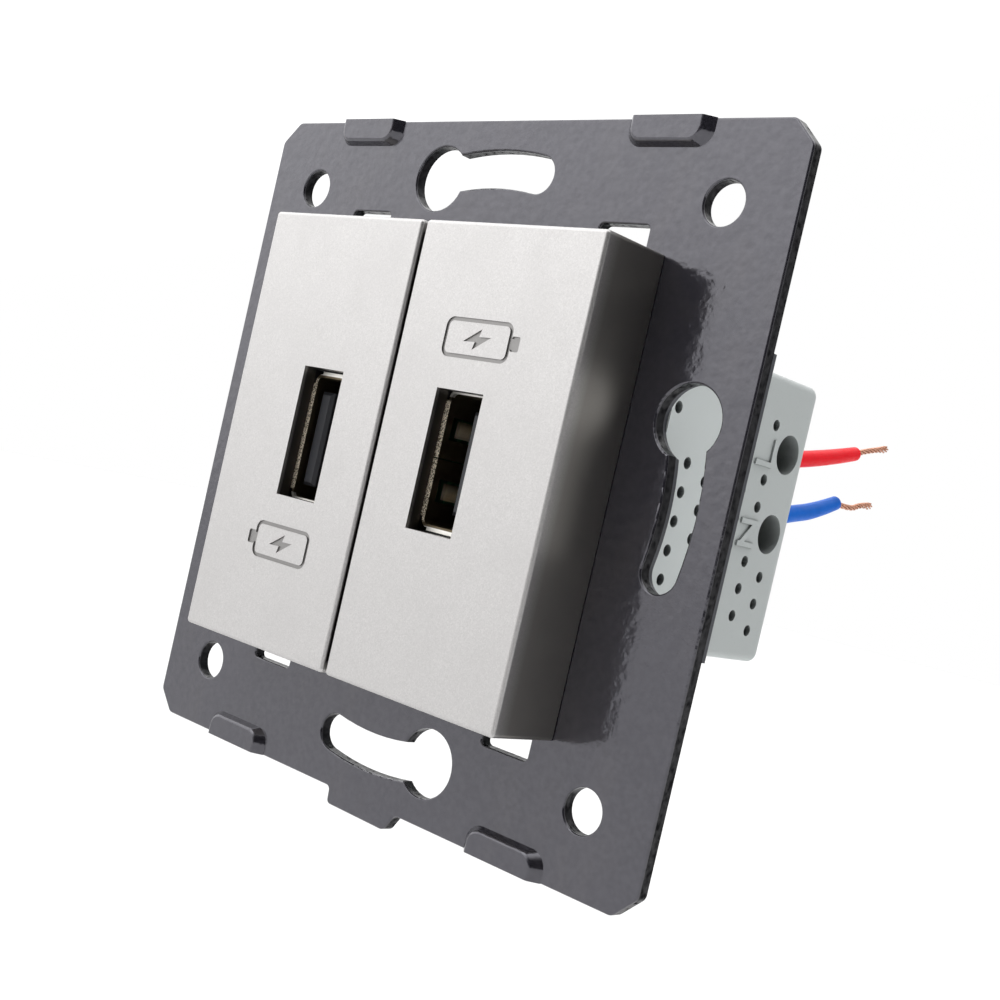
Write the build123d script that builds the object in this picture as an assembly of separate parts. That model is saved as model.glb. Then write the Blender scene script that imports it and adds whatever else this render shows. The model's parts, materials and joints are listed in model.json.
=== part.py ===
from build123d import *
import os
from math import pi, radians, tan

# Flush-mounted wall charger with two USB-A outlets.
# Millimetres. X right, Y into the wall, Z up. The origin is the middle of the
# mounting plate's back face, which is the face that lies on the wall.

# ---- driving dimensions ------------------------------------------------------
PLATE_SIZE = 70.0            # square mounting plate
PLATE_T = 1.3                # painted sheet thickness
PLATE_CORNER = 2.3           # cropped corners
SCREW_CIRCLE_R = 30.0        # fixing screws of a 60 mm wall box
CORNER_HOLE = 27.4           # small holes in the four corners, from the middle
MODULE = 45.0                # the two front covers together, square
COVER_RISE = 8.5             # front of the covers above the front of the plate
PORT_X = 9.56                # middle of a USB outlet from the middle of the plate
PORT_SHIFT_Z = 0.3           # a connector sits this far off the middle of its opening
HOUSING_HALF_X = 25.5
HOUSING_HALF_Z = 14.25
HOUSING_MID_Z = 1.55         # the rear housing sits a little above the middle
HOUSING_REAR = 25.65
TERMINAL_Y = 21.76           # screw axes of the two terminals
TERMINAL_Z = {"l": 8.46, "n": 0.34}
WIRE_X = 13.5                # conductors under the terminal contact bars

# ---- sizes that follow from them ---------------------------------------------
PLATE_FRONT = -PLATE_T
COVER_FRONT = PLATE_FRONT - COVER_RISE
COVER_GAP = 0.5
COVER_WALL = 1.1
COVER_FACE_T = 1.6
COVER_FOOT = PLATE_FRONT - 0.1
COVER_OUT = MODULE / 2
COVER_IN = COVER_GAP / 2
PORT_HALF = (2.96, 6.72)     # opening in a cover, half sizes in X and Z

STRAP_T = 0.8
STRAP_HALF_X = 34.8
STRAP_Z = (HOUSING_MID_Z - 13.5, HOUSING_MID_Z + 13.5)

WINDOW_X = 15.6              # middle window of plate and strap, half sizes
WINDOW_Z = 10.8
CLIP_X = 17.2                # clip windows above and below the covers
CLIP_W = 5.8
CLIP_Z = (18.6, 25.1)

SCREW_X = 17.9               # four screws that clamp carrier, plate and housing
SCREW_Z = 10.3
SCREW_R = 1.1
SCREW_HEAD_R = 1.9
SCREW_TIP = 7.5

CARRIER_HALF = COVER_OUT - COVER_WALL - 0.2
CARRIER_FLOOR = (PLATE_FRONT - 2.0, PLATE_FRONT)
CARRIER_TOP = COVER_FRONT + COVER_FACE_T + 0.2
CARRIER_WALL = 1.2

SHELL_HALF = (2.86, 6.57)    # outside of a USB-A shell, half sizes in X and Z
SHELL_T = 0.3
LIP_OUT = 0.28               # the shell's mouth has a bent lip on each of its sides
HOLDER_HOLE = (SHELL_HALF[0] + LIP_OUT + 0.1, SHELL_HALF[1] + LIP_OUT + 0.1)
SHELL_FRONT = COVER_FRONT + 1.8
SHELL_REAR = 5.2
TONGUE_X = (0.22, 2.06)      # tongue, from the outlet's middle
TONGUE_HALF_Z = 4.9
TONGUE_FRONT = SHELL_FRONT + 0.35
TONGUE_ROOT = 1.2
CONTACT_ZS = (-3.5, -1.0, 1.0, 3.5)

USB_BOARD = (SHELL_REAR, SHELL_REAR + 1.6)
USB_BOARD_HALF = (15.4, 10.6)
POWER_BOARD = (TERMINAL_Y - 5.5, TERMINAL_Y - 3.9)
POWER_BOARD_HALF = (23.6, 12.2)

HOUSING_WALL = 1.5
HOUSING_FRONT = STRAP_T
POST_R = 2.0
VENT_R = 0.57
VENT_PITCH_Y = 3.35
VENT_PITCH_Z = 2.74
VENT_FIRST = (5.07, -0.6)    # (y, z) of the middle vent of the first column
VENT_RISE = 0.04             # the rows climb a little towards the rear

CAGE_TRAVEL = 2.0
RUNNING_GAP = 0.08           # between the cages and the ribs that guide them
BAR_X = (WIRE_X + 0.45, WIRE_X + 1.25)
CAGE_X = (WIRE_X - 1.45, WIRE_X + 5.0)
CAGE_FLOOR_T = 1.0
CAGE_ROOF_T = 1.2
CAGE_SIDE_T = 0.8
CAGE_HALF_Y = 2.3
CAGE_HALF_Z = 2.9
TERMINAL_SCREW_X = (BAR_X[1] + 0.05, 21.0, 22.6)
TERMINAL_SHANK_R = 1.25
TERMINAL_HEAD_R = 1.9
TERMINAL_BORE_R = 2.0
BOSS_R = 3.0
BOSS_X = 20.6

WIRE_R = 1.0
WIRE_START_Y = TERMINAL_Y + CAGE_HALF_Y + 0.6
CONDUCTOR_R = 0.43


# ---- helpers -----------------------------------------------------------------
def block(x, y, z):
    """A box between limits given as (low, high) pairs."""
    middle = ((x[0] + x[1]) / 2, (y[0] + y[1]) / 2, (z[0] + z[1]) / 2)
    return Pos(*middle) * Box(x[1] - x[0], y[1] - y[0], z[1] - z[0])


def prism(sketch, y):
    """A front-view sketch (local x is X, local y is Z) between two depths."""
    return extrude(Plane.XZ.offset(-y[1]) * sketch, amount=y[1] - y[0])


def rod_x(radius, x, y, z):
    middle = Pos((x[0] + x[1]) / 2, y, z)
    return middle * Rot(0, 90, 0) * Cylinder(radius, x[1] - x[0])


def rod_y(radius, x, y, z):
    middle = Pos(x, (y[0] + y[1]) / 2, z)
    return middle * Rot(90, 0, 0) * Cylinder(radius, y[1] - y[0])


def turned(part):
    """Half a turn about the Y axis: the left module is the right one turned."""
    return Rot(0, 180, 0) * part


def four(x, z):
    return [(sx * x, sz * z) for sx in (-1, 1) for sz in (-1, 1)]


# ---- mounting plate ----------------------------------------------------------
def keyhole(slot_w, head_r):
    """Arc slot with a round entry, at the top of the plate."""
    head_angle = 105.6
    end_angle = 79.8
    path = CenterArc((0, 0), SCREW_CIRCLE_R, end_angle, head_angle - end_angle)
    entry = PolarLocations(SCREW_CIRCLE_R, 1, start_angle=head_angle)
    return SlotArc(path, slot_w) + entry * Circle(head_r)


def bump(depth):
    """Rounded pad on the middle of the top edge, from depth forward."""
    rise = 1.0
    base = Plane.XZ.offset(-depth) * RectangleRounded(9.6, 5.6, 1.7)
    face = Plane.XZ.offset(rise - depth) * RectangleRounded(7.7, 4.9, 1.3)
    pad = loft([base, face])
    return fillet(pad.faces().sort_by(Axis.Y)[0].edges(), 0.35)


def mounting_plate():
    half = PLATE_SIZE / 2
    outline = chamfer(Rectangle(PLATE_SIZE, PLATE_SIZE).vertices(), PLATE_CORNER)
    outline = fillet(outline.vertices(), 0.9)
    tab_corners = [(-4.3, 1 - half), (-4.1, -half - 1.75), (4.4, -half - 1.85), (6.2, 1 - half)]
    outline += make_face(Polyline(*tab_corners, close=True))
    tab_bends = outline.vertices().filter_by(lambda corner: abs(corner.X) < 7)
    outline = fillet(tab_bends.sort_by(Axis.X)[:2], 0.5)
    tab_bends = outline.vertices().filter_by(lambda corner: 3 < corner.X < 7)
    outline = fillet(tab_bends, 0.9)
    outline -= Rectangle(2 * WINDOW_X, 2 * WINDOW_Z)
    for turn in range(4):
        outline -= Rot(0, 0, -90 * turn) * keyhole(3.8, 3.4)
    for x, z in four(CORNER_HOLE, CORNER_HOLE):
        outline -= Pos(x, z) * Circle(2.1)
    clip_h = CLIP_Z[1] - CLIP_Z[0]
    for x, z in four(CLIP_X, (CLIP_Z[0] + CLIP_Z[1]) / 2):
        outline -= Pos(x, z) * RectangleRounded(CLIP_W, clip_h, 0.5)
    for x, z in four(SCREW_X, SCREW_Z):
        outline -= Pos(x, z) * Circle(1.3)
    plate = prism(outline, (PLATE_FRONT, 0))
    plate = fillet(plate.faces().sort_by(Axis.Y)[0].edges(), 0.18)
    pads = Part()
    pockets = Part()
    for x, z in four(19.95, half + 0.1):
        pads += Pos(x, 0, z) * bump(PLATE_FRONT)
        pockets += Pos(x, 0, z) * bump(0)
    keep = block((-half, half), (-5, 5), (-half, half))
    return plate + (pads & keep) - pockets


def mounting_strap():
    """Thin strap behind the plate that carries the housing."""
    strap = block((-STRAP_HALF_X, STRAP_HALF_X), (0, STRAP_T), STRAP_Z)
    cuts = Rectangle(2 * WINDOW_X, 2 * WINDOW_Z)
    for turn in (1, 3):
        cuts += Rot(0, 0, -90 * turn) * keyhole(4.2, 3.6)
    for x, z in four(SCREW_X, SCREW_Z):
        cuts += Pos(x, z) * Circle(1.3)
    return strap - prism(cuts, (-1, STRAP_T + 1))


# ---- front covers and carrier --------------------------------------------------
def charging_glyph():
    """Battery outline with a bolt and a terminal nub."""
    length, height, stroke = 8.4, 3.8, 0.38
    body = RectangleRounded(length, height, 0.9)
    body -= RectangleRounded(length - 2 * stroke, height - 2 * stroke, 0.9 - stroke)
    nub = Pos(length / 2 + 0.5, 0) * RectangleRounded(1.0, 1.4, 0.2)
    bolt_points = [(0.4, 1.0), (-1.7, -0.3), (-0.2, -0.25), (-0.4, -1.0), (1.7, 0.3), (0.2, 0.25)]
    bolt = make_face(Polyline(*bolt_points, close=True))
    return body + nub + bolt


def cover():
    shell = block((COVER_IN, COVER_OUT), (COVER_FRONT, COVER_FOOT), (-COVER_OUT, COVER_OUT))
    shell = fillet(shell.edges().filter_by(Axis.Y), 0.4)
    shell = fillet(shell.faces().sort_by(Axis.Y)[0].edges(), 0.35)
    inner_x = (COVER_IN + COVER_WALL, COVER_OUT - COVER_WALL)
    inner_z = (-COVER_OUT + COVER_WALL, COVER_OUT - COVER_WALL)
    shell -= block(inner_x, (COVER_FRONT + COVER_FACE_T, 0), inner_z)
    # the inner side stops short of the carrier's floor
    shell -= block((0, 1.5), (CARRIER_FLOOR[0] - 0.2, 0), inner_z)
    shell -= block((PORT_X - PORT_HALF[0], PORT_X + PORT_HALF[0]), (COVER_FRONT - 1, 0),
                   (-PORT_HALF[1], PORT_HALF[1]))
    glyph_depth = 0.15
    glyph = Pos(10.2, 11.6) * charging_glyph()
    return shell - prism(glyph, (COVER_FRONT - 1, COVER_FRONT + glyph_depth))


def port_holder():
    """Hollow black tower under a cover: it stands on the carrier's floor round a shell."""
    floor = CARRIER_FLOOR[0]
    half = CARRIER_HALF
    holder = block((1.5, half), (CARRIER_TOP, floor), (-half, half))
    inner = half - CARRIER_WALL
    holder -= block((1.5 + CARRIER_WALL, inner), (CARRIER_TOP + CARRIER_WALL, 0), (-inner, inner))
    hole_x, hole_z = HOLDER_HOLE
    holder -= block((PORT_X - hole_x, PORT_X + hole_x), (CARRIER_TOP - 1, 0),
                    (PORT_SHIFT_Z - hole_z, PORT_SHIFT_Z + hole_z))
    for sz in (-1, 1):
        holder -= rod_y(SCREW_HEAD_R + 0.3, SCREW_X, (CARRIER_TOP - 1, 0), sz * SCREW_Z)
    return holder


def module_carrier():
    """Black floor in front of the plate, with a neck through it and four snap hooks."""
    half = CARRIER_HALF
    neck_rear = 3.0
    neck_x = WINDOW_X - 0.2
    neck_z = WINDOW_Z - 0.2
    part = block((-half, half), CARRIER_FLOOR, (-half, half))
    part += block((-neck_x, neck_x), (PLATE_FRONT - 0.1, neck_rear), (-neck_z, neck_z))
    part -= block((1 - neck_x, neck_x - 1), (CARRIER_FLOOR[0] - 1, neck_rear + 1), (1 - neck_z, neck_z - 1))
    for x, z in four(SCREW_X, SCREW_Z):
        part -= rod_y(SCREW_R + 0.1, x, (CARRIER_FLOOR[0] - 1, 0), z)
    leg = block((-2.3, 2.3), (PLATE_FRONT - 0.1, 1.2), (CLIP_Z[0] + 0.2, CLIP_Z[0] + 1.8))
    leg += block((-2.3, 2.3), (0.1, 1.2), (CLIP_Z[0] - 0.9, CLIP_Z[0] + 0.3))
    for sx in (-1, 1):
        part += Pos(sx * CLIP_X, 0, 0) * leg
        part += Pos(sx * CLIP_X, 0, 0) * turned(leg)
    return part


def body_screws():
    """Four pan-head screws under the covers, into the posts of the housing."""
    screws = []
    seat = CARRIER_FLOOR[0]
    for x, z in four(SCREW_X, SCREW_Z):
        head = rod_y(SCREW_HEAD_R, x, (seat - 1.4, seat), z)
        head = fillet(head.edges().sort_by(Axis.Y)[0], 0.6)
        shank = rod_y(SCREW_R, x, (seat, SCREW_TIP), z)
        recess_y = (seat - 2, seat - 0.7)
        cross = block((x - 1.1, x + 1.1), recess_y, (z - 0.2, z + 0.2))
        cross += block((x - 0.2, x + 0.2), recess_y, (z - 1.1, z + 1.1))
        screws.append(head + shank - cross)
    return Compound(screws)


# ---- USB-A outlets -------------------------------------------------------------
def spring(z):
    """Contact finger bent inwards from a window in the wall facing the tongue."""
    out = SHELL_HALF[0]
    bend = [(out, -0.9), (out, -1.7), (out - 0.85, -5.2), (out - 0.45, -6.6)]
    back = [(px - 0.22, py) for px, py in reversed(bend)]
    points = [(-px, py) for px, py in bend + back]
    finger = make_face(Polyline(*points, close=True))
    return Pos(0, 0, z - 0.8) * extrude(finger, amount=1.6, dir=(0, 0, 1))


def usb_shell():
    hx, hz = SHELL_HALF
    depth = (SHELL_FRONT, SHELL_REAR)
    tube = RectangleRounded(2 * hx, 2 * hz, 0.8)
    tube -= RectangleRounded(2 * (hx - SHELL_T), 2 * (hz - SHELL_T), 0.5)
    shell = prism(tube, depth)
    seam = 0.12
    shell -= block((-hx - 1, -hx + 1), (SHELL_FRONT - 1, SHELL_REAR + 1), (-seam / 2, seam / 2))
    for z in (-3.0, 3.0):
        shell -= block((-hx - 0.8, 0.8 - hx), (-7.1, -0.95), (z - 1.1, z + 1.1))
        shell += spring(z)
    lip_y = (SHELL_FRONT, SHELL_FRONT + SHELL_T)
    for side in (-1, 1):
        lip_x = tuple(sorted((side * (hx - SHELL_T), side * (hx + LIP_OUT))))
        lip_z = tuple(sorted((side * (hz - SHELL_T), side * (hz + LIP_OUT))))
        for end in (-1, 1):
            half_run = tuple(sorted((end * seam / 2, end * 5.6)))
            shell += block(lip_x, lip_y, half_run)
        shell += block((-2.0, 2.0), lip_y, lip_z)
    # solder legs through the board
    for side in (-1, 1):
        for z in (-5.0, 5.0):
            leg = tuple(sorted((side * (hx - SHELL_T), side * hx)))
            shell += block(leg, (SHELL_REAR - 0.1, USB_BOARD[1] + 0.8), (z - 0.8, z + 0.8))
    return Pos(PORT_X, 0, PORT_SHIFT_Z) * shell


def contact_strip(z):
    """One contact: along the tongue's face, then out of the back as a pin."""
    face = TONGUE_X[0]
    strip = block((face - 0.15, face), (TONGUE_FRONT + 0.9, USB_BOARD[1] + 0.9), (z - 0.5, z + 0.5))
    return Pos(PORT_X, 0, PORT_SHIFT_Z) * strip


def usb_contacts():
    return Compound([contact_strip(z) for z in CONTACT_ZS])


def usb_tongue():
    hx = SHELL_HALF[0] - SHELL_T - 0.02
    hz = SHELL_HALF[1] - SHELL_T - 0.02
    tongue = block(TONGUE_X, (TONGUE_FRONT, TONGUE_ROOT + 0.1), (-TONGUE_HALF_Z, TONGUE_HALF_Z))
    front = tongue.faces().sort_by(Axis.Y)[0]
    tongue = chamfer(front.edges(), 0.35)
    base = prism(RectangleRounded(2 * hx, 2 * hz, 0.5), (TONGUE_ROOT, SHELL_REAR))
    part = Pos(PORT_X, 0, PORT_SHIFT_Z) * (tongue + base)
    for z in CONTACT_ZS:
        part -= contact_strip(z)
    return part


# ---- rear housing ----------------------------------------------------------------
def vent_positions():
    """Staggered columns of (y, z) on the side wall, clear of terminals and letters."""
    even = (2, 1, 0, -1, -2)
    odd = (1.5, 0.5, -0.5)
    beside_letters = (4, 2, 1, -1, -2, -3)
    below_terminals = (-1.5, -2.5, -3.5)
    columns = (even, odd, even, odd, beside_letters, below_terminals)
    spots = [(1.78, 9.5)]
    for number, rows in enumerate(columns):
        y = VENT_FIRST[0] + number * VENT_PITCH_Y
        middle = VENT_FIRST[1] + VENT_RISE * (y - VENT_FIRST[0])
        spots += [(y, middle + row * VENT_PITCH_Z) for row in rows]
    return spots


def letter(strokes, y, z):
    """Raised letter on the +X wall, turned a quarter turn: strokes are (y, z) outlines."""
    sunk, raised = 0.2, 0.22
    shape = Part()
    for points in strokes:
        outline = [(y + py, z + pz) for py, pz in points]
        face = make_face(Plane.YZ * Polyline(*outline, close=True))
        shape += extrude(face, amount=sunk + raised, dir=(1, 0, 0))
    return Pos(HOUSING_HALF_X - sunk, 0, 0) * shape


def rear_housing():
    hx, hz = HOUSING_HALF_X, HOUSING_HALF_Z
    part = block((-hx, hx), (HOUSING_FRONT, HOUSING_REAR), (-hz, hz))
    part = Pos(0, 0, HOUSING_MID_Z) * fillet(part.edges().filter_by(Axis.Y), 0.9)
    part = fillet(part.faces().sort_by(Axis.Y)[-1].edges(), 1.5)
    in_x = hx - HOUSING_WALL
    in_z = (HOUSING_MID_Z - hz + HOUSING_WALL, HOUSING_MID_Z + hz - HOUSING_WALL)
    rear_in = HOUSING_REAR - HOUSING_WALL
    part -= block((-in_x, in_x), (HOUSING_FRONT - 1, rear_in), in_z)

    # posts for the four screws, reaching back to the power board
    for x, z in four(SCREW_X, SCREW_Z):
        part += rod_y(POST_R, x, (HOUSING_FRONT, POWER_BOARD[0]), z)
        web = (z, in_z[1] + 0.1) if z > 0 else (in_z[0] - 0.1, z)
        part += block((x - 0.6, x + 0.6), (HOUSING_FRONT, POWER_BOARD[0]), web)
        part -= rod_y(SCREW_R + 0.02, x, (HOUSING_FRONT - 1, SCREW_TIP + 1), z)

    # ribs that hold the power board from behind
    for side in (-1, 1):
        rib = tuple(sorted((side * in_x, side * (in_x - 1.6))))
        part += block(rib, (POWER_BOARD[1], rear_in), (in_z[0] + 1.2, in_z[0] + 3.2))

    # terminal chambers: dividers that guide the cages, screw bosses and wire entries
    chamber = (TERMINAL_Z["n"] - CAGE_HALF_Z - 1.3, TERMINAL_Z["l"] + CAGE_HALF_Z + 1.3)
    chamber_x = CAGE_X[0] - CAGE_TRAVEL - 0.2
    part += block((chamber_x, in_x), (POWER_BOARD[1] + 1, rear_in), chamber)
    for z in TERMINAL_Z.values():
        guided = CAGE_HALF_Z + RUNNING_GAP
        part -= block((chamber_x - 1, in_x), (POWER_BOARD[1], rear_in), (z - guided, z + guided))
    for z in TERMINAL_Z.values():
        part += rod_x(BOSS_R, (BOSS_X, in_x), TERMINAL_Y, z)
    for z in TERMINAL_Z.values():
        part -= rod_x(TERMINAL_BORE_R, (BOSS_X - 1, hx + 1), TERMINAL_Y, z)
        part -= rod_y(1.1, WIRE_X, (rear_in - 1, HOUSING_REAR + 1), z)
        funnel = Rot(90, 0, 0) * Cone(2.4, 1.1, 1.3)
        part -= Pos(WIRE_X, HOUSING_REAR - 0.5, z) * funnel

    for y, z in vent_positions():
        part -= rod_x(VENT_R, (in_x - 1, hx + 1), y, z)
        part -= rod_x(VENT_R, (-hx - 1, 1 - in_x), y, z)

    height, width, stroke = 3.15, 2.75, 0.5
    stem = [(0, 0), (height, 0), (height, stroke), (0, stroke)]
    foot = [(height - stroke, 0), (height, 0), (height, width), (height - stroke, width)]
    far_stem = [(0, width - stroke), (height, width - stroke), (height, width), (0, width)]
    slant = [(0, 0.1), (0.8, 0.1), (height, width - 0.1), (height - 0.8, width - 0.1)]
    letter_y = TERMINAL_Y - 5.75
    below = 1.75
    part += letter([stem, foot], letter_y, TERMINAL_Z["l"] - below)
    part += letter([stem, far_stem, slant], letter_y, TERMINAL_Z["n"] - below)
    return part


# ---- terminals: fixed contact bar, rising cage, captive screw ----------------------
def terminal_bar(z):
    bar = block(BAR_X, (POWER_BOARD[1], TERMINAL_Y + 1.9), (z - 1.8, z + 1.8))
    return bar + block(BAR_X, (POWER_BOARD[0] - 0.6, POWER_BOARD[1] + 0.1), (z - 0.5, z + 0.5))


def terminal_cage(z):
    ys = (TERMINAL_Y - CAGE_HALF_Y, TERMINAL_Y + CAGE_HALF_Y)
    cage = block(CAGE_X, ys, (z - CAGE_HALF_Z, z + CAGE_HALF_Z))
    cage = fillet(cage.edges().filter_by(Axis.Y), 0.5)
    inner_x = (CAGE_X[0] + CAGE_FLOOR_T, CAGE_X[1] - CAGE_ROOF_T)
    inner_z = CAGE_HALF_Z - CAGE_SIDE_T
    cage -= block(inner_x, (ys[0] - 1, ys[1] + 1), (z - inner_z, z + inner_z))
    return cage - rod_x(TERMINAL_SHANK_R + 0.05, (CAGE_X[1] - 2, CAGE_X[1] + 1), TERMINAL_Y, z)


def terminal_screw(z):
    tip, under, top = TERMINAL_SCREW_X
    head = rod_x(TERMINAL_HEAD_R, (under, top), TERMINAL_Y, z)
    head = fillet(head.edges().sort_by(Axis.X)[-1], 0.3)
    shank = rod_x(TERMINAL_SHANK_R, (tip, under), TERMINAL_Y, z)
    slot = block((top - 0.8, top + 1), (TERMINAL_Y - 3, TERMINAL_Y + 3), (z - 0.25, z + 0.25))
    return head + shank - slot


# ---- circuit boards and what is on them ----------------------------------------------
LINK_X = 13.0                # pins between the two boards


def usb_board():
    hx, hz = USB_BOARD_HALF
    board = block((-hx, hx), USB_BOARD, (-hz, hz))
    holes = usb_shell() + turned(usb_shell())
    for contacts in (usb_contacts(), turned(usb_contacts())):
        holes += contacts
    return board - holes - link_pins()


def link_pins():
    pins = []
    half = 0.32
    ends = (USB_BOARD[0] - 0.8, POWER_BOARD[1] + 0.8)
    for row in range(4):
        z = -9.2 + 2.54 * row
        pins.append(block((LINK_X - half, LINK_X + half), ends, (z - half, z + half)))
    return Compound(pins)


def board_link_header():
    body = block((LINK_X - 1.2, LINK_X + 1.2), (POWER_BOARD[0] - 2.5, POWER_BOARD[0]), (-10.3, -0.5))
    return body - link_pins()


def power_board():
    hx, hz = POWER_BOARD_HALF
    board = Pos(0, 0, HOUSING_MID_Z) * block((-hx, hx), POWER_BOARD, (-hz, hz)) - link_pins()
    for z in TERMINAL_Z.values():
        board -= terminal_bar(z)
    return board


TRANSFORMER_X = -5.0
YOKE = 2.0
CORE_Y = (USB_BOARD[1] + 1.0, POWER_BOARD[0] - 0.5)


def transformer_core():
    x = TRANSFORMER_X
    core = block((x - 6.6, x + 6.6), CORE_Y, (-3.0, 3.0))
    window_y = (CORE_Y[0] + YOKE, CORE_Y[1] - YOKE)
    for side in (-1, 1):
        window = tuple(sorted((x + side * 1.6, x + side * 4.6)))
        core -= block(window, window_y, (-4, 4))
    return core


def transformer_bobbin():
    x = TRANSFORMER_X
    inner = (CORE_Y[0] + YOKE, CORE_Y[1] - YOKE)
    part = block((x - 2.1, x + 2.1), inner, (-3.5, 3.5))
    for y in ((inner[0], inner[0] + 0.6), (inner[1] - 0.6, inner[1])):
        part += block((x - 4.5, x + 4.5), y, (-6.0, 6.0))
    for side in (-1, 1):
        foot = tuple(sorted((side * 3.1, side * 6.0)))
        part += block((x - 4.5, x + 4.5), (inner[1] - 0.1, POWER_BOARD[0]), foot)
    return part - block((x - 1.6, x + 1.6), (inner[0] - 1, inner[1] + 1), (-3.0, 3.0))


def transformer_winding():
    x = TRANSFORMER_X
    ys = (CORE_Y[0] + YOKE + 0.6, CORE_Y[1] - YOKE - 0.6)
    coil = block((x - 4.4, x + 4.4), ys, (-5.7, 5.7))
    coil = fillet(coil.edges().filter_by(Axis.Y), 1.2)
    return coil - block((x - 2.1, x + 2.1), (ys[0] - 1, ys[1] + 1), (-3.5, 3.5))


def electrolytic(radius, x, z, height):
    """Can with a rolled groove near its rubber end, standing on the power board."""
    foot = POWER_BOARD[0]
    can = rod_y(radius, x, (foot - height, foot), z)
    can = fillet(can.edges().sort_by(Axis.Y)[0], 0.5)
    groove = rod_y(radius + 1, x, (foot - 2.0, foot - 1.3), z)
    groove -= rod_y(radius - 0.3, x, (foot - 2.1, foot - 1.2), z)
    return can - groove


def line_inductor():
    x, z, foot = 7.5, 6.2, POWER_BOARD[0]
    part = rod_y(3.0, x, (foot - 8, foot), z)
    groove = rod_y(4.0, x, (foot - 7, foot - 1), z) - rod_y(2.5, x, (foot - 8, foot), z)
    return part - groove


def line_fuse():
    part = rod_y(2.0, 19.5, (POWER_BOARD[0] - 6, POWER_BOARD[0]), 2.0)
    return fillet(part.edges().sort_by(Axis.Y)[0], 0.6)


def y_capacitor():
    disc = Pos(-2.0, POWER_BOARD[0] - 3.4, 9.2) * Cylinder(3.4, 2.6)
    return fillet(disc.edges(), 0.9)


def chip(x, z, size, y):
    """Moulded package with a chamfered top; y is (board side, top side)."""
    low, high = sorted(y)
    body = block((x - size[0] / 2, x + size[0] / 2), (low, high), (z - size[1] / 2, z + size[1] / 2))
    top = body.faces().sort_by(Axis.Y)[-1 if y[1] > y[0] else 0]
    return chamfer(top.edges(), 0.25)


# ---- mains wires ---------------------------------------------------------------------
WIRE_ROUTES = {
    "red": [(WIRE_X, WIRE_START_Y, 8.46), (WIRE_X, 36.2, 8.75), (WIRE_X + 0.1, 48.0, 10.6),
            (WIRE_X, 56.9, 12.8)],
    "blue": [(WIRE_X, WIRE_START_Y, 0.34), (WIRE_X, 34.6, 0.9), (WIRE_X + 0.1, 44.6, 3.55),
             (WIRE_X, 50.4, 4.65), (WIRE_X, 55.0, 6.35)],
}
BARE_ENDS = {
    "red": [(WIRE_X, 56.9, 12.8), (WIRE_X, 60.6, 13.95), (WIRE_X + 0.2, 63.9, 14.6)],
    "blue": [(WIRE_X, 55.0, 6.35), (WIRE_X, 59.0, 6.1), (WIRE_X, 61.4, 7.1), (WIRE_X, 63.6, 7.2)],
}
WIRE_TERMINAL = {"red": "l", "blue": "n"}


def tube(points, radius):
    """Straight runs joined by the largest tangent arcs that the runs allow."""
    spots = [Vector(*p) for p in points]
    runs = [b - a for a, b in zip(spots, spots[1:])]
    radii = []
    for before, after in zip(runs, runs[1:]):
        half_turn = radians(before.get_angle(after) / 2)
        radii.append(0.45 * min(before.length, after.length) / tan(half_turn))
    path = FilletPolyline(*spots, radius=radii)
    profile = Plane(origin=path @ 0, z_dir=path % 0) * Circle(radius)
    solid = sweep(profile, path)
    expected = pi * radius**2 * path.length
    print("tube length", round(path.length, 2), "radii", [round(r, 1) for r in radii],
          "volume / expected", round(solid.volume / expected, 4))
    return solid


def copper(colour):
    """The stripped ends of a wire: clamped in its terminal, and bare at the far end."""
    z = TERMINAL_Z[WIRE_TERMINAL[colour]]
    clamped = rod_y(CONDUCTOR_R, WIRE_X, (TERMINAL_Y - CAGE_HALF_Y + 0.4, WIRE_START_Y), z)
    return Compound([clamped, tube(BARE_ENDS[colour], 0.27)])


# ---- build and write -------------------------------------------------------------------
parts = {
    "mounting_plate": mounting_plate(),
    "mounting_strap": mounting_strap(),
    "module_carrier": module_carrier(),
    "port_holder_right": port_holder(),
    "port_holder_left": turned(port_holder()),
    "cover_right": cover(),
    "cover_left": turned(cover()),
    "body_screws": body_screws(),
    "usb_shell_right": usb_shell(),
    "usb_shell_left": turned(usb_shell()),
    "usb_tongue_right": usb_tongue(),
    "usb_tongue_left": turned(usb_tongue()),
    "usb_contacts_right": usb_contacts(),
    "usb_contacts_left": turned(usb_contacts()),
    "usb_board": usb_board(),
    "port_control_chip": chip(0.0, 7.0, (5.0, 4.0), (USB_BOARD[1], USB_BOARD[1] + 1.3)),
    "rear_housing": rear_housing(),
    "power_board": power_board(),
    "board_link_pins": link_pins(),
    "board_link_header": board_link_header(),
}
on_power_board = {
    "transformer_core": transformer_core(),
    "transformer_bobbin": transformer_bobbin(),
    "transformer_winding": transformer_winding(),
    "input_capacitor": electrolytic(4.0, 7.2, -6.0, 8.2),
    "output_capacitor_upper": electrolytic(3.15, -18.2, 3.4, 9.0),
    "output_capacitor_lower": electrolytic(3.15, -18.2, -3.6, 9.0),
    "line_inductor": line_inductor(),
    "line_fuse": line_fuse(),
    "y_capacitor": y_capacitor(),
    "optocoupler": chip(-4.8, -9.3, (6.4, 4.4), (POWER_BOARD[0], POWER_BOARD[0] - 3.4)),
    "bridge_rectifier": chip(5.0, 5.5, (5.0, 4.6), (POWER_BOARD[1], POWER_BOARD[1] + 2.4)),
    "power_control_chip": chip(-6.0, 0.0, (4.9, 3.9), (POWER_BOARD[1], POWER_BOARD[1] + 1.5)),
    "output_diode": chip(-15.0, -4.0, (4.4, 2.7), (POWER_BOARD[1], POWER_BOARD[1] + 2.1)),
}
for name, part in on_power_board.items():
    parts[name] = Pos(0, 0, HOUSING_MID_Z) * part
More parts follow.
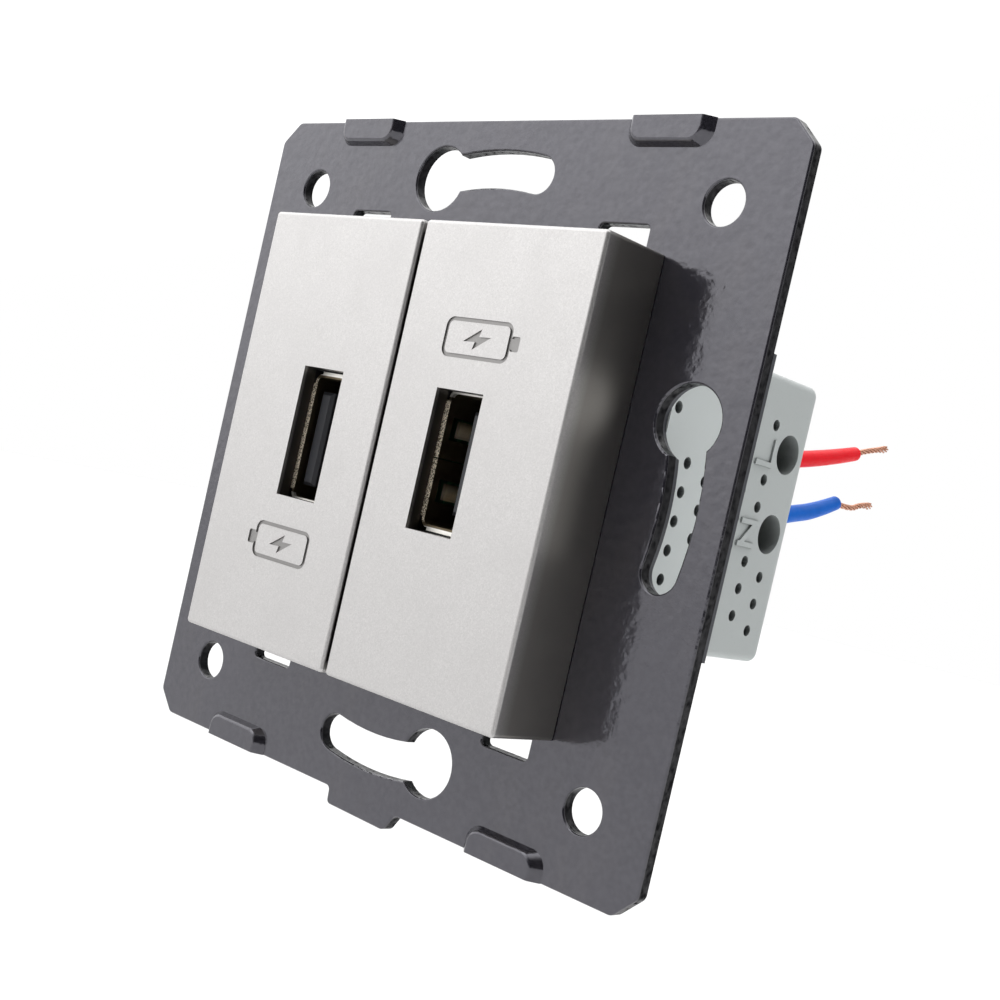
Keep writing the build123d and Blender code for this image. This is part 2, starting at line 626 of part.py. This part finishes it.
for key, z in TERMINAL_Z.items():
    parts[f"terminal_bar_{key}"] = terminal_bar(z)
    parts[f"terminal_cage_{key}"] = terminal_cage(z)
    parts[f"terminal_screw_{key}"] = terminal_screw(z)
for colour, route in WIRE_ROUTES.items():
    parts[f"wire_{colour}"] = tube(route, WIRE_R)
    parts[f"wire_{colour}_copper"] = copper(colour)

os.makedirs("parts", exist_ok=True)
for name, part in parts.items():
    export_step(part, f"parts/{name}.step")
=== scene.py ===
"""Flush-mounted wall charger with two USB-A outlets. Metres; X right, Y into the wall, Z up."""
import json
import math

import bpy
from mathutils import Matrix, Vector


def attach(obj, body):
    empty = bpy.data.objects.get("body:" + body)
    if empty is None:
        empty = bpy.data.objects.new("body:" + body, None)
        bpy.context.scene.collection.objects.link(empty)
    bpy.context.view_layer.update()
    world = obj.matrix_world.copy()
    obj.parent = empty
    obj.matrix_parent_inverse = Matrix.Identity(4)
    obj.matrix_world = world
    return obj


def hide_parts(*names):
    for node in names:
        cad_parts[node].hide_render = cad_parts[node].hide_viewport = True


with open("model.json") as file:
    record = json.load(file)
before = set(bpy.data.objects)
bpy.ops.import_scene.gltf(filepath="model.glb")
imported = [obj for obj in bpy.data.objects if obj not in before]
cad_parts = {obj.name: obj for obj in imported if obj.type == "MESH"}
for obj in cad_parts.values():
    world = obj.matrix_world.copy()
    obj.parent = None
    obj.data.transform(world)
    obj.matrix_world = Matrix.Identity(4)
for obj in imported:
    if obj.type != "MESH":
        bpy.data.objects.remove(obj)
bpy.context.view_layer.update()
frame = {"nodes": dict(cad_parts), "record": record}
nodes = frame["nodes"]
MM = 0.001
BODY = "charger_body"

# Planes of the model along Y, in mm, where a finish changes.
PLATE_FRONT = -1.3
COVER_FRONT = -9.8
SHELL_FRONT = -8.0

# The camera: place in mm, directions, focal length in mm and the framing's shift.
CAMERA_PLACE = (103.0, -108.0, -1.9)
CAMERA_VIEW = (-0.6941, 0.7193, -0.0290)
CAMERA_UP = (-0.1800, -0.1339, 0.9745)
CAMERA_LENS = 52.99
CAMERA_SHIFT = (0.0805, 0.0217)


# ---- camera --------------------------------------------------------------------
def add_camera():
    view = Vector(CAMERA_VIEW).normalized()
    right = view.cross(Vector(CAMERA_UP)).normalized()
    up = right.cross(view)
    turn = Matrix((right, up, -view)).transposed()
    data = bpy.data.cameras.new("camera")
    data.sensor_width = 36.0
    data.lens = CAMERA_LENS
    data.shift_x, data.shift_y = CAMERA_SHIFT
    data.clip_start = 0.01
    data.clip_end = 20.0
    camera = bpy.data.objects.new("camera", data)
    camera.matrix_world = Matrix.Translation(Vector(CAMERA_PLACE) * MM) @ turn.to_4x4()
    bpy.context.scene.collection.objects.link(camera)
    bpy.context.scene.camera = camera


# ---- materials -----------------------------------------------------------------
class Shader:
    """A Principled material with a few helpers that all work in object space, in metres."""

    def __init__(self, name, color, roughness, metallic=0.0, **inputs):
        self.mat = bpy.data.materials.new(name)
        self.mat.use_nodes = True
        self.tree = self.mat.node_tree
        self.bsdf = self.tree.nodes["Principled BSDF"]
        self.coords = self.tree.nodes.new("ShaderNodeTexCoord").outputs["Object"]
        self.color = self.value_color(color)
        self.rough = self.value(roughness)
        self.height = None
        self.bsdf.inputs["Metallic"].default_value = metallic
        for key, value in inputs.items():
            self.bsdf.inputs[key.replace("_", " ")].default_value = value

    def node(self, kind, **settings):
        made = self.tree.nodes.new("ShaderNode" + kind)
        for key, value in settings.items():
            setattr(made, key, value)
        return made

    def link(self, source, target):
        self.tree.links.new(source, target)

    def value(self, number):
        made = self.node("Value")
        made.outputs[0].default_value = number
        return made.outputs[0]

    def value_color(self, color):
        made = self.node("RGB")
        made.outputs[0].default_value = (*color, 1.0)
        return made.outputs[0]

    def math(self, operation, a, b=0.0, clamp=False):
        made = self.node("Math", operation=operation, use_clamp=clamp)
        for socket, value in zip(made.inputs, (a, b)):
            if isinstance(value, (int, float)):
                socket.default_value = value
            else:
                self.link(value, socket)
        return made.outputs[0]

    def stretched(self, scale):
        """Object coordinates in millimetres, squeezed by a factor along each axis."""
        made = self.node("Mapping")
        made.inputs["Scale"].default_value = [1000.0 * s for s in scale]
        self.link(self.coords, made.inputs["Vector"])
        return made.outputs[0]

    def noise(self, size_mm, detail=2.0, low=0.0, high=1.0, stretch=(1, 1, 1)):
        """Soft noise with blobs of about size_mm, cut at low and high."""
        made = self.node("TexNoise")
        made.inputs["Scale"].default_value = 1.0 / size_mm
        made.inputs["Detail"].default_value = detail
        self.link(self.stretched(stretch), made.inputs["Vector"])
        return self.span(made.outputs["Fac"], low, high)

    def cells(self, size_mm, output="Distance"):
        """Voronoi cells of about size_mm."""
        made = self.node("TexVoronoi")
        made.inputs["Scale"].default_value = 1.0 / size_mm
        self.link(self.stretched((1, 1, 1)), made.inputs["Vector"])
        return made.outputs[output]

    def span(self, source, low, high):
        """0 where source is low or less, 1 where it is high or more."""
        made = self.node("MapRange")
        made.inputs["From Min"].default_value = low
        made.inputs["From Max"].default_value = high
        self.link(source, made.inputs["Value"])
        return made.outputs[0]

    def edges(self, radius_mm, low=0.02, high=0.25):
        """1 on sharp edges, 0 on flat faces."""
        rounded = self.node("Bevel", samples=4)
        rounded.inputs["Radius"].default_value = radius_mm * MM
        flat = self.node("NewGeometry")
        dot = self.node("VectorMath", operation="DOT_PRODUCT")
        self.link(rounded.outputs[0], dot.inputs[0])
        self.link(flat.outputs["Normal"], dot.inputs[1])
        return self.span(self.math("SUBTRACT", 1.0, dot.outputs["Value"]), low, high)

    def band(self, axis, low, high, both_sides=False):
        """0 below low and 1 above high (mm) along an axis, or the other way round."""
        parts = self.node("SeparateXYZ")
        self.link(self.stretched((1, 1, 1)), parts.inputs[0])
        place = parts.outputs[axis]
        if both_sides:
            place = self.math("ABSOLUTE", place)
        return self.span(place, low, high)

    def overlap(self, *masks):
        """1 where every mask is 1."""
        product = masks[0]
        for mask in masks[1:]:
            product = self.math("MULTIPLY", product, mask)
        return product

    def crevices(self, reach_mm, low=0.35, high=0.9):
        """1 deep in holes and corners of the same part, 0 in the open."""
        made = self.node("AmbientOcclusion", samples=6, only_local=True)
        made.inputs["Distance"].default_value = reach_mm * MM
        return self.span(made.outputs["AO"], high, low)

    def tint(self, mask, color, amount=1.0):
        """Mixes a colour in where mask is 1."""
        made = self.node("MixRGB")
        self.link(self.math("MULTIPLY", mask, amount, clamp=True), made.inputs["Fac"])
        self.link(self.color, made.inputs["Color1"])
        made.inputs["Color2"].default_value = (*color, 1.0)
        self.color = made.outputs[0]
        return self

    def dull(self, mask, amount):
        """Adds to the roughness where mask is 1."""
        self.rough = self.math("ADD", self.rough, self.math("MULTIPLY", mask, amount), clamp=True)
        return self

    def relief(self, mask, depth_mm):
        """Raises the surface by depth_mm where mask is 1, as bump."""
        step = self.math("MULTIPLY", mask, depth_mm * MM)
        self.height = step if self.height is None else self.math("ADD", self.height, step)
        return self

    def done(self):
        """Joins colour, roughness and relief to the shader and gives the material."""
        self.link(self.color, self.bsdf.inputs["Base Color"])
        self.link(self.rough, self.bsdf.inputs["Roughness"])
        if self.height is not None:
            bump = self.node("Bump")
            bump.inputs["Strength"].default_value = 1.0
            bump.inputs["Distance"].default_value = 1.0
            self.link(self.height, bump.inputs["Height"])
            self.link(bump.outputs[0], self.bsdf.inputs["Normal"])
        return self.mat


def plate_paint():
    """Glossy charcoal stove paint with orange peel; dull behind the front face."""
    s = Shader("plate_paint", (0.020, 0.019, 0.025), 0.13, IOR=1.9,
               Specular_Tint=(0.93, 0.92, 1.0, 1.0))
    s.relief(s.noise(1.15, 2.5), 0.045)
    s.relief(s.noise(0.45, 2.0), 0.004)
    s.tint(s.noise(14.0, 3.0, 0.45, 0.75), (0.028, 0.026, 0.033), 0.6)
    s.tint(s.noise(2.6, 4.0, 0.50, 0.72, stretch=(1, 1, 0.4)), (0.034, 0.031, 0.034), 0.6)
    sheared = s.band("Y", PLATE_FRONT + 0.1, PLATE_FRONT + 0.25)
    s.tint(sheared, (0.012, 0.012, 0.013), 0.9)
    s.dull(sheared, 0.12)
    gloss = s.math("SUBTRACT", 0.52, s.math("MULTIPLY", sheared, 0.46))
    gloss = s.math("SUBTRACT", gloss, s.math("MULTIPLY", s.noise(0.55, 3.0, 0.35, 0.65), 0.06))
    s.link(gloss, s.bsdf.inputs["Specular IOR Level"])
    s.dull(s.noise(6.0, 4.0, 0.5, 0.8), 0.06)
    return s.done()


def strap_paint():
    """The same paint on the layer behind, thinner and duller."""
    s = Shader("strap_paint", (0.035, 0.037, 0.048), 0.35)
    s.relief(s.noise(0.6, 3.0), 0.006)
    s.tint(s.noise(5.0, 4.0, 0.4, 0.7), (0.028, 0.030, 0.038), 0.5)
    s.dull(s.noise(2.0, 3.0), 0.15)
    return s.done()


def silver_lacquer():
    """Fine metallic lacquer: tiny flakes, painted shade that makes the side walls greyer, dull grey
    in the engraved symbol, painted shade inside the port openings.
    """
    s = Shader("silver_lacquer", (0.515, 0.505, 0.50), 0.40, metallic=1.0)
    grey = s.node("RGBToBW")
    s.link(s.cells(0.12, "Color"), grey.inputs[0])
    s.tint(s.span(grey.outputs[0], 0.5, 0.9), (0.62, 0.607, 0.60), 0.5)
    s.tint(s.span(grey.outputs[0], 0.4, 0.1), (0.43, 0.42, 0.415), 0.4)
    s.tint(s.noise(9.0, 3.0, 0.45, 0.7), (0.48, 0.47, 0.465), 0.35)
    s.relief(s.noise(0.16, 2.0), 0.0012)
    # Painted shade: every face more than 0.35 mm behind the front face, the side walls among them, is
    # darkened to a grey olive.
    s.tint(s.band("Y", COVER_FRONT + 0.35, COVER_FRONT + 2.0), (0.33, 0.315, 0.29), 0.9)
    engraved = s.overlap(s.band("Y", COVER_FRONT + 0.05, COVER_FRONT + 0.1),
                         s.band("Z", 9.0, 9.3, both_sides=True),
                         s.band("Z", 15.8, 15.5, both_sides=True),
                         s.band("X", 16.5, 16.2, both_sides=True),
                         s.band("X", 3.0, 3.3, both_sides=True))
    s.tint(engraved, (0.20, 0.195, 0.19), 0.8)
    # Painted shade: the inner walls of the port openings are darkened to a dark brown.
    inside = s.overlap(s.band("Y", COVER_FRONT + 0.25, COVER_FRONT + 0.5),
                       s.band("X", 21.5, 21.2, both_sides=True),
                       s.band("Z", 21.5, 21.2, both_sides=True))
    s.tint(inside, (0.07, 0.062, 0.055), 0.9)
    s.dull(s.noise(3.0, 4.0, 0.5, 0.75), 0.05)
    return s.done()


def grey_plastic():
    """Light grey moulding with a fine spark-eroded texture; painted light makes it paler near the
    plate, and painted shade makes it dark in its hollows.
    """
    s = Shader("grey_plastic", (0.51, 0.545, 0.54), 0.45)
    s.relief(s.noise(0.22, 3.0), 0.004)
    s.relief(s.noise(4.0, 2.0), 0.01)
    s.tint(s.noise(10.0, 4.0, 0.45, 0.75), (0.475, 0.51, 0.505), 0.5)
    s.tint(s.noise(0.25, 0.0, 0.70, 0.78), (0.40, 0.43, 0.42), 0.25)
    # Painted light: paler towards the front, near the plate.
    s.tint(s.band("Y", 14.0, 9.5), (0.67, 0.715, 0.708), 1.0)
    # Painted shade: dark in holes, bores and corners, from the ambient occlusion of the part itself.
    s.tint(s.crevices(5.0, 0.30, 0.72), (0.07, 0.078, 0.075), 0.95)
    s.dull(s.noise(1.5, 3.0), 0.12)
    return s.done()


def shell_metal():
    """Dark brass-coloured sheet, darker in patches; painted glints on its rough front edges, a
    painted lit patch on its end lips and painted highlights on its spring tips.
    """
    s = Shader("shell_metal", (0.16, 0.13, 0.085), 0.40, metallic=1.0)
    s.relief(s.noise(0.25, 3.0, stretch=(1, 1, 6)), 0.003)
    s.tint(s.noise(1.6, 5.0, 0.45, 0.75), (0.07, 0.055, 0.035), 0.6)
    # Painted glints: near-white brass sparkle along the front edges of the long sides, less metallic
    # there, over a rough relief.
    front = s.band("Y", SHELL_FRONT + 0.06, SHELL_FRONT + 0.02)
    painted_glint_sides = s.overlap(front, s.band("Z", 5.9, 5.7, both_sides=True))
    s.tint(s.math("MULTIPLY", painted_glint_sides, s.noise(0.12, 2.0, 0.44, 0.52)), (1.0, 0.88, 0.70), 1.0)
    s.relief(s.math("MULTIPLY", painted_glint_sides, s.noise(0.12, 1.0)), 0.03)
    s.link(s.math("SUBTRACT", 1.0, s.math("MULTIPLY", painted_glint_sides, 0.7)), s.bsdf.inputs["Metallic"])
    # Painted light: the short end lips at the front are painted near white, as if lit from above.
    painted_lit_end_lips = s.overlap(s.band("Y", SHELL_FRONT + 0.45, SHELL_FRONT + 0.35),
                        s.band("Z", 6.15, 6.2, both_sides=True))
    s.tint(painted_lit_end_lips, (0.97, 0.95, 0.90), 0.95)
    # Painted highlights: bright pale gold spots on the spring finger tips.
    painted_highlight_tips = s.overlap(s.band("Y", -6.7, -6.4), s.band("Y", -3.6, -4.6),
                           s.band("X", 7.02, 7.08, both_sides=True),
                           s.band("X", 8.2, 8.0, both_sides=True),
                           s.band("Z", 1.9, 2.8, both_sides=True),
                           s.band("Z", 4.1, 3.2, both_sides=True))
    s.tint(painted_highlight_tips, (1.0, 0.93, 0.78), 0.95)
    s.dull(s.noise(0.7, 4.0, 0.35, 0.8), 0.1)
    return s.done()


def moulded(name, color, roughness, grain_mm=0.3):
    """A plain moulded or coated surface with a fine grain and slightly darker patches."""
    s = Shader(name, color, roughness)
    s.relief(s.noise(grain_mm, 3.0), 0.006)
    s.tint(s.noise(3.0, 4.0, 0.4, 0.75), tuple(0.8 * c for c in color), 0.5)
    s.dull(s.noise(0.8, 3.0), 0.12)
    return s.done()


def sheet_metal(name, color, roughness, wear, brush=(1, 1, 6)):
    """Plated sheet: drawn lines along one axis, darker tarnish and bright rubbed edges."""
    s = Shader(name, color, roughness, metallic=1.0)
    s.relief(s.noise(0.25, 3.0, stretch=brush), 0.003)
    s.tint(s.noise(1.6, 5.0, 0.45, 0.75), tuple(0.55 * c for c in color), 0.6)
    s.tint(s.edges(0.12, 0.05, 0.5), wear, 0.7)
    s.dull(s.noise(0.7, 4.0, 0.35, 0.8), 0.25)
    return s.done()


def insulation(name, color, deep):
    """Soft glossy sheath with faint drawing lines along the wire and a little dust."""
    s = Shader(name, color, 0.35, IOR=1.4, Specular_IOR_Level=0.12)
    s.relief(s.noise(0.5, 2.0, stretch=(1, 0.12, 1)), 0.003)
    s.relief(s.noise(2.2, 2.0), 0.008)
    s.tint(s.noise(3.5, 3.0, 0.4, 0.75), deep, 0.6)
    s.dull(s.noise(0.8, 4.0, 0.4, 0.8), 0.18)
    return s.done()


def circuit_board():
    """Green solder mask over faint copper tracks."""
    s = Shader("board_laminate", (0.015, 0.13, 0.045), 0.25, Coat_Weight=0.3)
    tracks = s.node("TexBrick", offset=0.5)
    s.link(s.stretched((0.16, 0.16, 0.16)), tracks.inputs["Vector"])
    tracks.inputs["Scale"].default_value = 1.0
    tracks.inputs["Mortar Size"].default_value = 0.06
    s.tint(tracks.outputs["Fac"], (0.03, 0.22, 0.07), 0.8)
    s.relief(tracks.outputs["Fac"], 0.02)
    s.dull(s.noise(2.0, 3.0), 0.1)
    return s.done()


def assign_materials():
    """Makes every material and gives each CAD node the one its record names."""
    made = {
        "plate_paint": plate_paint(),
        "strap_paint": strap_paint(),
        "silver_lacquer": silver_lacquer(),
        "grey_plastic": grey_plastic(),
        "black_plastic": moulded("black_plastic", (0.012, 0.012, 0.013), 0.45),
        "tongue_plastic": moulded("tongue_plastic", (0.022, 0.023, 0.028), 0.35, 0.2),
        "white_plastic": moulded("white_plastic", (0.72, 0.71, 0.66), 0.4),
        "ferrite": moulded("ferrite", (0.05, 0.05, 0.055), 0.6, 0.15),
        "winding_tape": moulded("winding_tape", (0.72, 0.52, 0.04), 0.25, 0.8),
        "capacitor_sleeve": moulded("capacitor_sleeve", (0.02, 0.02, 0.035), 0.2, 0.6),
        "blue_resin": moulded("blue_resin", (0.03, 0.12, 0.40), 0.2, 0.9),
        "shell_metal": shell_metal(),
        "contact_metal": sheet_metal("contact_metal", (0.83, 0.62, 0.27), 0.25, (0.95, 0.80, 0.45)),
        "screw_steel": sheet_metal("screw_steel", (0.55, 0.54, 0.51), 0.3, (0.8, 0.8, 0.8)),
        "plated_steel": sheet_metal("plated_steel", (0.60, 0.58, 0.54), 0.3, (0.8, 0.8, 0.8)),
        "board_laminate": circuit_board(),
        "red_insulation": insulation("red_insulation", (0.95, 0.006, 0.018), (0.78, 0.003, 0.010)),
        "blue_insulation": insulation("blue_insulation", (0.004, 0.150, 0.68), (0.003, 0.11, 0.54)),
        "copper": sheet_metal("copper", (0.60, 0.30, 0.20), 0.22, (0.90, 0.60, 0.45), (1, 6, 1)),
    }
    for part in frame["record"]["subparts"]:
        data = nodes[part["node"]].data
        data.materials.clear()
        data.materials.append(made[part["material_slot"]])
    return made


# ---- wires -----------------------------------------------------------------------
WIRE_X = 13.5
WIRE_START_Y = 24.66
WIRE_D = 2.0
SHEATH_END = 0.86            # the sheath narrows to this where it is cut
STRAND_D = 0.23
STRAND_OFFSET = 1.08 * STRAND_D
BARE_TURNS, BARE_FLARE = 1.4, 0.14
ROUTES = {
    "red": [(WIRE_X, WIRE_START_Y, 8.46), (WIRE_X, 36.2, 8.75), (WIRE_X + 0.1, 48.0, 10.6),
            (WIRE_X, 56.9, 12.8)],
    "blue": [(WIRE_X, WIRE_START_Y, 0.34), (WIRE_X, 34.6, 0.9), (WIRE_X + 0.1, 44.6, 3.55),
             (WIRE_X, 50.4, 4.65), (WIRE_X, 55.0, 6.35)],
}
BARE_ENDS = {
    "red": [(WIRE_X, 56.9, 12.8), (WIRE_X, 60.6, 13.95), (WIRE_X + 0.2, 63.9, 14.6)],
    "blue": [(WIRE_X, 55.0, 6.35), (WIRE_X, 59.0, 6.1), (WIRE_X, 61.4, 7.1), (WIRE_X, 63.6, 7.2)],
}
CLAMPED = {
    "red": [(WIRE_X, 19.86, 8.46), (WIRE_X, 22.3, 8.46), (WIRE_X, 24.66, 8.46)],
    "blue": [(WIRE_X, 19.86, 0.34), (WIRE_X, 22.3, 0.34), (WIRE_X, 24.66, 0.34)],
}


def nurbs_curve(name, points_mm, bevel_mm=0.0):
    """A smooth open curve with the given points as its control points."""
    curve = bpy.data.curves.new(name, "CURVE")
    curve.dimensions = "3D"
    curve.resolution_u = 24
    spline = curve.splines.new("NURBS")
    spline.points.add(len(points_mm) - 1)
    for point, place in zip(spline.points, points_mm):
        point.co = (*(Vector(place) * MM), 1.0)
    spline.order_u = 3
    spline.use_endpoint_u = True
    curve.bevel_depth = bevel_mm * MM
    curve.bevel_resolution = 8
    curve.use_fill_caps = True
    made = bpy.data.objects.new(name, curve)
    bpy.context.scene.collection.objects.link(made)
    return made


def centreline(points_mm):
    """Points along the smooth line of a route, in metres."""
    guide = nurbs_curve("guide", points_mm)
    bpy.context.view_layer.update()
    mesh = bpy.data.meshes.new_from_object(guide)
    line = [v.co.copy() for v in mesh.vertices]
    bpy.data.objects.remove(guide)
    return line


def strand(line, offset_mm, phase, turns, radius_mm, flare_mm, sides=8):
    """Vertices and faces of one strand wound round the line."""
    verts, faces = [], []
    last = len(line) - 1
    for i, place in enumerate(line):
        t = i / last
        ahead = (line[min(i + 1, last)] - line[max(i - 1, 0)]).normalized()
        side = ahead.cross(Vector((1, 0, 0))).normalized()
        other = ahead.cross(side)
        angle = phase + turns * 2 * math.pi * t
        spread = (offset_mm + flare_mm * max(0.0, t - 0.7) / 0.3) * MM
        centre = place + spread * (math.cos(angle) * side + math.sin(angle) * other)
        for k in range(sides):
            a = 2 * math.pi * k / sides
            verts.append(centre + radius_mm * MM * (math.cos(a) * side + math.sin(a) * other))
    for i in range(last):
        for k in range(sides):
            j = (k + 1) % sides
            faces.append((i * sides + k, i * sides + j, (i + 1) * sides + j, (i + 1) * sides + k))
    faces.append(tuple(range(sides))[::-1])
    faces.append(tuple(last * sides + k for k in range(sides)))
    return verts, faces


def strand_bundle(name, parts):
    """One object of twisted strands; each part is (line, turns, flare)."""
    verts, faces = [], []
    for line, turns, flare in parts:
        layout = [(0.0, 0.0)] + [(STRAND_OFFSET, 2 * math.pi * k / 6) for k in range(6)]
        for number, (offset, phase) in enumerate(layout):
            own_flare = flare * (0.3 + 0.25 * ((number * 3) % 4)) if offset else 0.0
            v, f = strand(line, offset, phase, turns, STRAND_D / 2, own_flare)
            base = len(verts)
            verts += v
            faces += [tuple(base + i for i in face) for face in f]
    mesh = bpy.data.meshes.new(name)
    mesh.from_pydata([tuple(v) for v in verts], [], faces)
    mesh.validate()
    for face in mesh.polygons:
        face.use_smooth = True
    made = bpy.data.objects.new(name, mesh)
    bpy.context.scene.collection.objects.link(made)
    return made


def add_wire(colour, made):
    """The sheath and the twisted strands of one wire, in place of its two CAD nodes."""
    sheath = nurbs_curve(f"wire_{colour}_sheath", ROUTES[colour], WIRE_D / 2)
    sheath.data.materials.append(made[f"{colour}_insulation"])
    sheath.data.splines[0].points[-1].radius = SHEATH_END
    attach(sheath, BODY)
    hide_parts(f"wire_{colour}")
    bare = centreline(BARE_ENDS[colour])
    clamped = centreline(CLAMPED[colour])
    strands = strand_bundle(f"wire_{colour}_strands",
                            [(bare, BARE_TURNS, BARE_FLARE), (clamped, 1.0, 0.0)])
    strands.data.materials.append(made["copper"])
    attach(strands, BODY)
    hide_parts(f"wire_{colour}_copper")
    line = centreline(ROUTES[colour])


# ---- surroundings -------------------------------------------------------------------
def add_floor():
    size, level = 3.0, -0.16
    mesh = bpy.data.meshes.new("floor")
    corners = [(-size, -size, level), (size, -size, level), (size, size, level), (-size, size, level)]
    mesh.from_pydata(corners, [], [(0, 1, 2, 3)])
    floor = bpy.data.objects.new("floor", mesh)
    s = Shader("floor_paint", (0.72, 0.72, 0.72), 0.8)
    mesh.materials.append(s.done())
    bpy.context.scene.collection.objects.link(floor)


def add_light(name, place, target, size, power):
    data = bpy.data.lights.new(name, "AREA")
    data.shape = "DISK"
    data.size = size
    data.energy = power
    light = bpy.data.objects.new(name, data)
    aim = Vector(target) - Vector(place)
    light.matrix_world = Matrix.Translation(place) @ aim.to_track_quat("-Z", "Y").to_matrix().to_4x4()
    bpy.context.scene.collection.objects.link(light)


def add_world():
    """White to the camera. As light it is strongest from above on the left, a little stronger
    from behind on the right, and dark from in front on the right."""
    world = bpy.data.worlds.new("studio")
    bpy.context.scene.world = world
    world.use_nodes = True
    tree = world.node_tree
    coords = tree.nodes.new("ShaderNodeTexCoord").outputs["Generated"]

    def lobe(direction, start, end, low, high):
        """A factor going from low to high as the light's direction nears the given one."""
        dot = tree.nodes.new("ShaderNodeVectorMath")
        dot.operation = "DOT_PRODUCT"
        dot.inputs[1].default_value = Vector(direction).normalized()
        tree.links.new(coords, dot.inputs[0])
        made = tree.nodes.new("ShaderNodeMapRange")
        made.interpolation_type = "SMOOTHSTEP"
        for key, value in zip(("From Min", "From Max", "To Min", "To Max"), (start, end, low, high)):
            made.inputs[key].default_value = value
        tree.links.new(dot.outputs["Value"], made.inputs["Value"])
        return made.outputs[0]

    def combine(operation, a, b):
        made = tree.nodes.new("ShaderNodeMath")
        made.operation = operation
        tree.links.new(a, made.inputs[0])
        tree.links.new(b, made.inputs[1])
        return made.outputs[0]

    dark_front = lobe((0.80, -0.60, 0.0), 0.20, 0.80, 1.0, 0.02)
    bright_rear = lobe((0.60, 0.78, 0.15), 0.3, 0.95, 1.0, 1.25)
    bright_top = lobe((-0.4, -0.2, 1.0), 0.05, 0.70, 0.5, 2.1)
    light = combine("MULTIPLY", combine("MULTIPLY", dark_front, bright_rear), bright_top)
    seen = tree.nodes.new("ShaderNodeLightPath").outputs["Is Camera Ray"]
    strength = combine("MAXIMUM", light, seen)
    tree.links.new(strength, tree.nodes["Background"].inputs["Strength"])
    tree.nodes["Background"].inputs["Color"].default_value = (1, 1, 1, 1)


add_camera()
materials = assign_materials()
for wire in ROUTES:
    add_wire(wire, materials)
add_world()
add_floor()
add_light("key", (-0.25, -0.55, 0.45), (0, 0, 0), 0.35, 0.3)
bpy.context.scene.view_settings.view_transform = "Standard"
